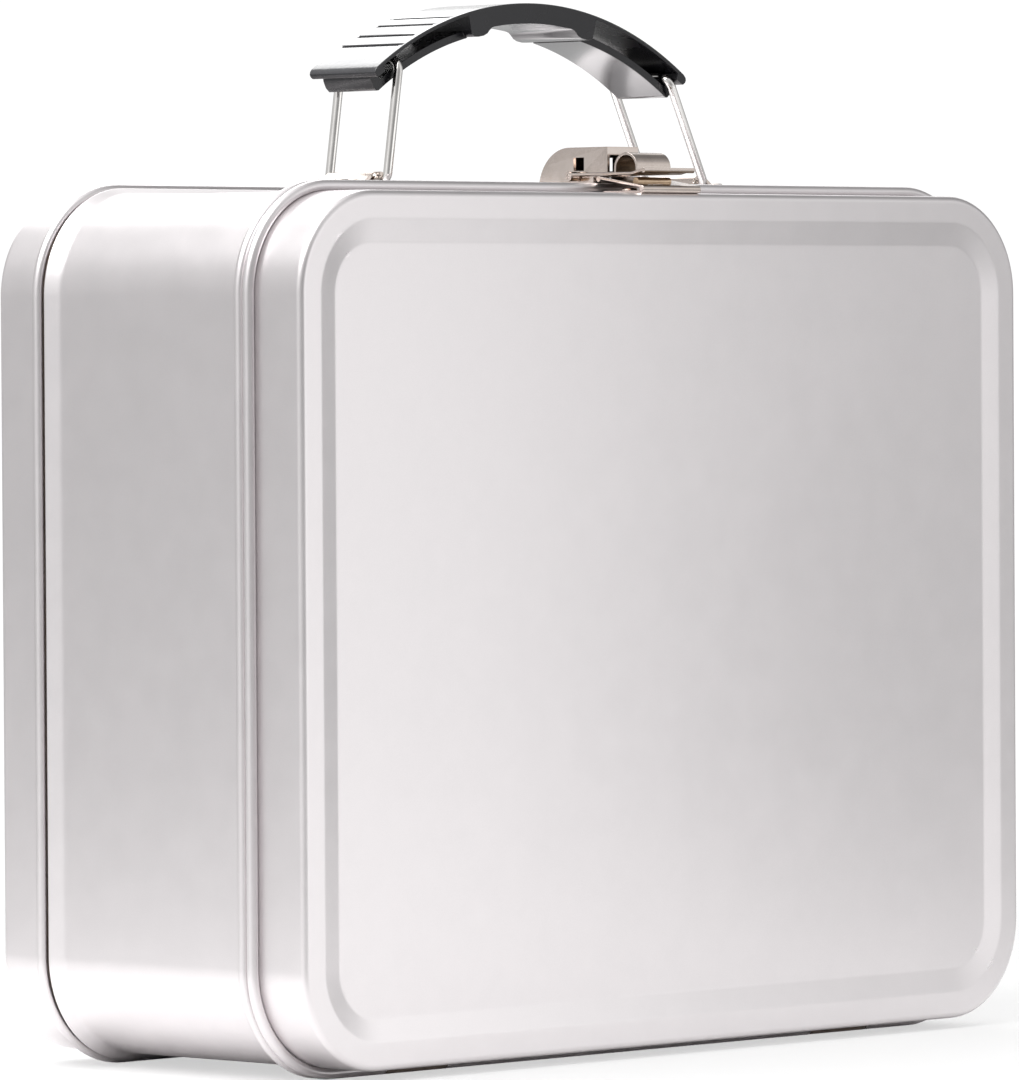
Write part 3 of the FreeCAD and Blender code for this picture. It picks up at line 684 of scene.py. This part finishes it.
def grip_upper_outline():
    """The full-width part: top, rounded noses, slots' ceilings and the middle block."""
    top = sweep_angle(0.9 - GRIP_END, GRIP_END - 0.9, GRIP_OUTER)
    nose = [
        (GRIP_END - 0.35, GRIP_OUTER - 0.2),
        (GRIP_END - 0.05, GRIP_OUTER - 0.6),
        (GRIP_END, GRIP_OUTER - 1.1),
    ]
    lip = [(GRIP_END - 0.2, 75.8), (GRIP_END - 0.6, 75.7), (SLOT_FAR, 75.7)]
    ceiling = sweep_angle(SLOT_FAR - 0.15, SLOT_NEAR, SLOT_OUTER)
    block = [
        (SLOT_NEAR, GRIP_INNER + 1.0),
        (SLOT_NEAR - 0.4, GRIP_INNER + 0.3),
        (SLOT_NEAR - 1.3, GRIP_INNER + 0.05),
        (SLOT_NEAR - 2.5, GRIP_INNER),
        (WAIST_END + 1.8, GRIP_INNER + 0.25),
        (WAIST_END + 1.2, GRIP_INNER + 0.8),
        (WAIST_END + 0.6, GRIP_WAIST - 0.1),
    ]
    right = nose + lip + ceiling + block
    waist = sweep_angle(WAIST_END, -WAIST_END, GRIP_WAIST)
    left = [(-angle, radius) for angle, radius in reversed(right)]
    return top + right + waist + left


def grip_rail_outline(side):
    """The narrower part below a slot, with the post that joins it to the end's lip."""
    floor = sweep_angle(RAIL_NEAR, SLOT_FAR - 0.2, SLOT_INNER)
    post = [
        (SLOT_FAR, SLOT_INNER + 0.3),
        (SLOT_FAR, POST_TOP),
        (GRIP_END - 0.9, POST_TOP),
        (GRIP_END - 0.25, 75.2),
        (GRIP_END - 0.1, 73.8),
        (GRIP_END - 0.35, GRIP_INNER + 0.3),
        (GRIP_END - 0.8, GRIP_INNER),
    ]
    under = sweep_angle(GRIP_END - 1.5, RAIL_NEAR, GRIP_INNER)
    return [(side * angle, radius) for angle, radius in floor + post + under]


def groove_cutter():
    """Thin bars across the grip's top, one where each groove is pressed."""
    bm = bmesh.new()
    for angle in [side * groove for side in (-1, 1) for groove in GROOVE_ANGLES]:
        made = bmesh.ops.create_cube(bm, size=1)
        turn = Matrix.Rotation(math.radians(angle), 3, "Y")
        middle = (GRIP_AXIS + turn @ Vector((0, 0, GRIP_OUTER))) * MM
        size = Vector((GROOVE_WIDTH, 2 * (GRIP_HALF_WIDTH - GROOVE_MARGIN), 2 * GROOVE_DEPTH)) * MM
        placing = Matrix.LocRotScale(middle, turn.to_quaternion(), size)
        bmesh.ops.transform(bm, matrix=placing, verts=made["verts"])
    mesh = bpy.data.meshes.new("groove_cutter")
    bm.to_mesh(mesh)
    bm.free()
    return mesh


def make_grip(smooth, pebbled, glossy):
    """The moulded grip: pebbled on top, smooth at the sides, and polished underneath."""
    mesh = curved_solid(grip_upper_outline(), GRIP_HALF_WIDTH)
    materials = [smooth, pebbled, glossy]
    grip = new_piece("handle_grip_moulding", mesh, "grip", materials, ["handle_grip"])
    for side in (-1, 1):
        combine(grip, "UNION", curved_solid(grip_rail_outline(side), RAIL_HALF_WIDTH))
    bevel = grip.modifiers.new("eased_edges", "BEVEL")
    bevel.width = GRIP_EASING * MM
    bevel.segments = 3
    bevel.limit_method = "ANGLE"
    bevel.angle_limit = math.radians(50)
    apply_modifiers(grip)
    combine(grip, "DIFFERENCE", groove_cutter())
    axis = GRIP_AXIS * MM
    for face in grip.data.polygons:
        arm = Vector((face.center.x - axis.x, 0, face.center.z - axis.z))
        facing = face.normal.dot(arm.normalized())
        if arm.length > (GRIP_OUTER - PEBBLED_DEPTH) * MM and facing > 0.25:
            face.material_index = 1
        elif arm.length < GRIP_WAIST * MM and facing < -0.6:
            face.material_index = 2
    grip.data.shade_smooth()
    flat_shading_aid(grip)
    return grip


# ---------------------------------------------------------------------------------------------
# Stage, light and camera
# ---------------------------------------------------------------------------------------------
FLOOR_RADIUS = 12
# The floor's colour is a painted pool of light, in metres from the middle: white to the first distance, then
# fading to the far grey by the second.
PAINTED_POOL_FADE = (0.15, 0.5)
FLOOR_BEYOND_POOL = 0.45
FLOOR_SHOWN = 0.45


def make_floor():
    """A round table top, white under the object in a painted pool of light that fades to grey further
    out, and so thin to the eye that what hangs below it still shows."""
    bm = bmesh.new()
    bmesh.ops.create_circle(bm, cap_ends=True, segments=96, radius=FLOOR_RADIUS)
    mesh = bpy.data.meshes.new("floor")
    bm.to_mesh(mesh)
    bm.free()
    floor = bpy.data.objects.new("floor", mesh)
    bpy.context.scene.collection.objects.link(floor)
    nodes = Nodes("pale_floor")
    far = nodes.add("ShaderNodeVectorMath", operation="LENGTH")
    nodes.link(nodes.place, far.inputs[0])
    # How far out in the painted pool of light: 0 near the object, 1 far off; it also clears the floor for
    # the camera.
    fade = nodes.to_range(far.outputs["Value"], 0, 1, *PAINTED_POOL_FADE)
    cloud = nodes.mix(nodes.noise(3, 3), (0.93, 0.93, 0.93), (0.96, 0.96, 0.96))
    # Painted pool of light: the colour fades from white near the object to grey far off.
    nodes.set(base_color=nodes.mix(fade, cloud, (FLOOR_BEYOND_POOL, FLOOR_BEYOND_POOL, FLOOR_BEYOND_POOL)), roughness=0.7)
    seen = nodes.add("ShaderNodeLightPath").outputs["Is Camera Ray"]
    clear = nodes.add("ShaderNodeBsdfTransparent")
    choice = nodes.add("ShaderNodeMixShader")
    nodes.link(nodes.math("MULTIPLY", seen, nodes.to_range(fade, 1 - FLOOR_SHOWN, 1)), choice.inputs[0])
    nodes.link(nodes.shader.outputs[0], choice.inputs[1])
    nodes.link(clear.outputs[0], choice.inputs[2])
    output = next(n for n in nodes.tree.nodes if n.type == "OUTPUT_MATERIAL")
    nodes.link(choice.outputs[0], output.inputs["Surface"])
    mesh.materials.append(nodes.material)


def area_light(name, place, aim, width, height, power):
    """A rectangular card of light, in metres and watts, turned to face a point."""
    data = bpy.data.lights.new(name, "AREA")
    data.shape = "RECTANGLE"
    data.size = width
    data.size_y = height
    data.energy = power
    lamp = bpy.data.objects.new(name, data)
    lamp.location = place
    lamp.rotation_euler = (Vector(aim) - Vector(place)).to_track_quat("-Z", "Y").to_euler()
    bpy.context.scene.collection.objects.link(lamp)


# The white behind the object, the grey that the metal mirrors all round, and patches of it that are
# lighter or darker. Each patch has a direction, the cosines of the angles at which it starts and is
# full, and the light it adds.
BACKDROP = 1.05
SURROUND = 0.71
LOBES = [
    ((0.43, 0.70, 0.55), 0.9, 0.985, 3.0),
    ((0.72, 0.70, 0.05), 0.85, 0.97, 0.3),
    ((0.0, 0.0, 1.0), 0.7, 0.97, 0.5),
    ((0.75, -0.1, 0.65), 0.82, 0.97, -0.42),
    ((0.72, -0.69, 0.12), 0.6, 0.98, 0.36),
    ((0.97, -0.24, 0.0), 0.86, 0.98, -0.38),
    ((-0.3, -0.95, 0.0), 0.75, 0.97, -0.3),
    ((-1.0, 0.0, 0.0), 0.84, 0.98, 0.5),
    ((-0.72, 0.70, 0.0), 0.75, 0.97, 0.07),
]


def make_world():
    """A pale studio: white behind the object, and softer greys round it that the metal mirrors."""
    world = bpy.data.worlds.new("studio")
    bpy.context.scene.world = world
    world.use_nodes = True
    tree = world.node_tree
    tree.nodes.clear()
    output = tree.nodes.new("ShaderNodeOutputWorld")
    background = tree.nodes.new("ShaderNodeBackground")
    background.inputs["Color"].default_value = (1, 1, 1, 1)
    background.inputs["Strength"].default_value = BACKDROP
    surround = tree.nodes.new("ShaderNodeBackground")
    chooser = tree.nodes.new("ShaderNodeMixShader")
    path = tree.nodes.new("ShaderNodeLightPath")
    tree.links.new(path.outputs["Is Camera Ray"], chooser.inputs["Fac"])
    tree.links.new(surround.outputs[0], chooser.inputs[1])
    tree.links.new(background.outputs[0], chooser.inputs[2])
    tree.links.new(chooser.outputs[0], output.inputs["Surface"])
    place = tree.nodes.new("ShaderNodeTexCoord")

    def lobe(direction, low, high, level):
        """Light that falls off away from one direction."""
        dot = tree.nodes.new("ShaderNodeVectorMath")
        dot.operation = "DOT_PRODUCT"
        dot.inputs[1].default_value = Vector(direction).normalized()
        tree.links.new(place.outputs["Generated"], dot.inputs[0])
        fade = tree.nodes.new("ShaderNodeMapRange")
        fade.interpolation_type = "SMOOTHSTEP"
        fade.inputs["From Min"].default_value = low
        fade.inputs["From Max"].default_value = high
        fade.inputs["To Max"].default_value = level
        tree.links.new(dot.outputs["Value"], fade.inputs["Value"])
        return fade.outputs["Result"]

    base = tree.nodes.new("ShaderNodeValue")
    base.outputs[0].default_value = SURROUND
    total = base.outputs[0]
    for direction, low, high, level in LOBES:
        add = tree.nodes.new("ShaderNodeMath")
        add.operation = "ADD"
        tree.links.new(total, add.inputs[0])
        tree.links.new(lobe(direction, low, high, level), add.inputs[1])
        total = add.outputs[0]
    tree.links.new(total, surround.inputs["Strength"])


CAMERA_PLACE = (-1.2111, -1.1674, 0.1386)
CAMERA_TURN = (45.97, 1.334, -0.348)
LENS = 284.5


def make_camera():
    """Looks across the box's front left corner from far off, almost level."""
    yaw, pitch, roll = (math.radians(a) for a in CAMERA_TURN)
    ahead = Vector((math.sin(yaw) * math.cos(pitch), math.cos(yaw) * math.cos(pitch), -math.sin(pitch)))
    level = Vector((math.cos(yaw), -math.sin(yaw), 0))
    upright = level.cross(ahead)
    right = level * math.cos(roll) + upright * math.sin(roll)
    up = upright * math.cos(roll) - level * math.sin(roll)
    data = bpy.data.cameras.new("camera")
    data.sensor_width = 36
    data.lens = LENS
    data.clip_start = 0.05
    data.clip_end = 100
    camera = bpy.data.objects.new("camera", data)
    bpy.context.scene.collection.objects.link(camera)
    turn = Matrix((right, up, -ahead)).transposed().to_4x4()
    camera.matrix_world = Matrix.Translation(CAMERA_PLACE) @ turn
    bpy.context.scene.camera = camera


def make_light():
    """The studio round the box, a card near its front and a card above the table."""
    make_world()
    area_light("front_card", (0.07, -0.28, 0.07), (0.0, -0.04, 0.09), 0.26, 0.3, 0.12)
    area_light("top_card", (-0.5, 0.05, 0.75), (-0.15, 0, 0.0), 0.8, 0.7, 6.2)


# ---------------------------------------------------------------------------------------------
# Everything
# ---------------------------------------------------------------------------------------------
scene = bpy.context.scene
scene.view_settings.view_transform = "Standard"
make_camera()
make_floor()
make_light()

tin_light = (0.84, 0.807, 0.815)
tin_dark = (0.81, 0.779, 0.787)
tinplate = metal("satin_tinplate", tin_light, tin_dark, 0.35, 0.012, 5200, 0.12, rolled=0.5)
nickel = metal("nickel_plate", (0.70, 0.62, 0.57), (0.58, 0.50, 0.45), 0.17, 0.05, 3500, 0.08, 300)
wire_steel = metal("bright_wire", (0.90, 0.88, 0.86), (0.80, 0.78, 0.76), 0.11, 0.04, 3000, 0.05, 300)
# A dark metal that paints shade in the band's seam and under the hasp.
painted_shade_steel = metal("painted_shade_steel", (0.22, 0.16, 0.11), (0.12, 0.085, 0.055), 0.4, 0.06, 3000, 0.1, 300)
brass = metal("rolled_brass", (0.78, 0.60, 0.42), (0.60, 0.43, 0.29), 0.24, 0.05, 3000, 0.08, 300)
pebbled_plastic = plastic("pebbled_black_plastic", (0.012, 0.012, 0.015), 0.17, 1500, 0.3, skin=1.0)
smooth_plastic = plastic("smooth_black_plastic", (0.010, 0.010, 0.012), 0.24, 4200, 0.06)
glossy_plastic = plastic("glossy_black_plastic", (0.012, 0.012, 0.015), 0.14, 4200, 0.04, skin=1.0)

# The shells, with painted shade in the band's seam.
make_shells(tinplate, painted_shade_steel)

replaced = {"front_lid", "rear_cover", "body_band", "bail_left", "bail_right", "handle_grip"}
for node in sorted(set(frame["nodes"]) - replaced):
    if node == "keeper_striker":
        eased(node, brass)
    else:
        piece = eased(node, nickel)
        if node == "latch_hasp":
            # Painted shade under the hasp and in its arch's hollow.
            paint_hasp_shade(piece, painted_shade_steel)

for side in BAILS:
    make_bail(side, wire_steel)
make_grip(smooth_plastic, pebbled_plastic, glossy_plastic)
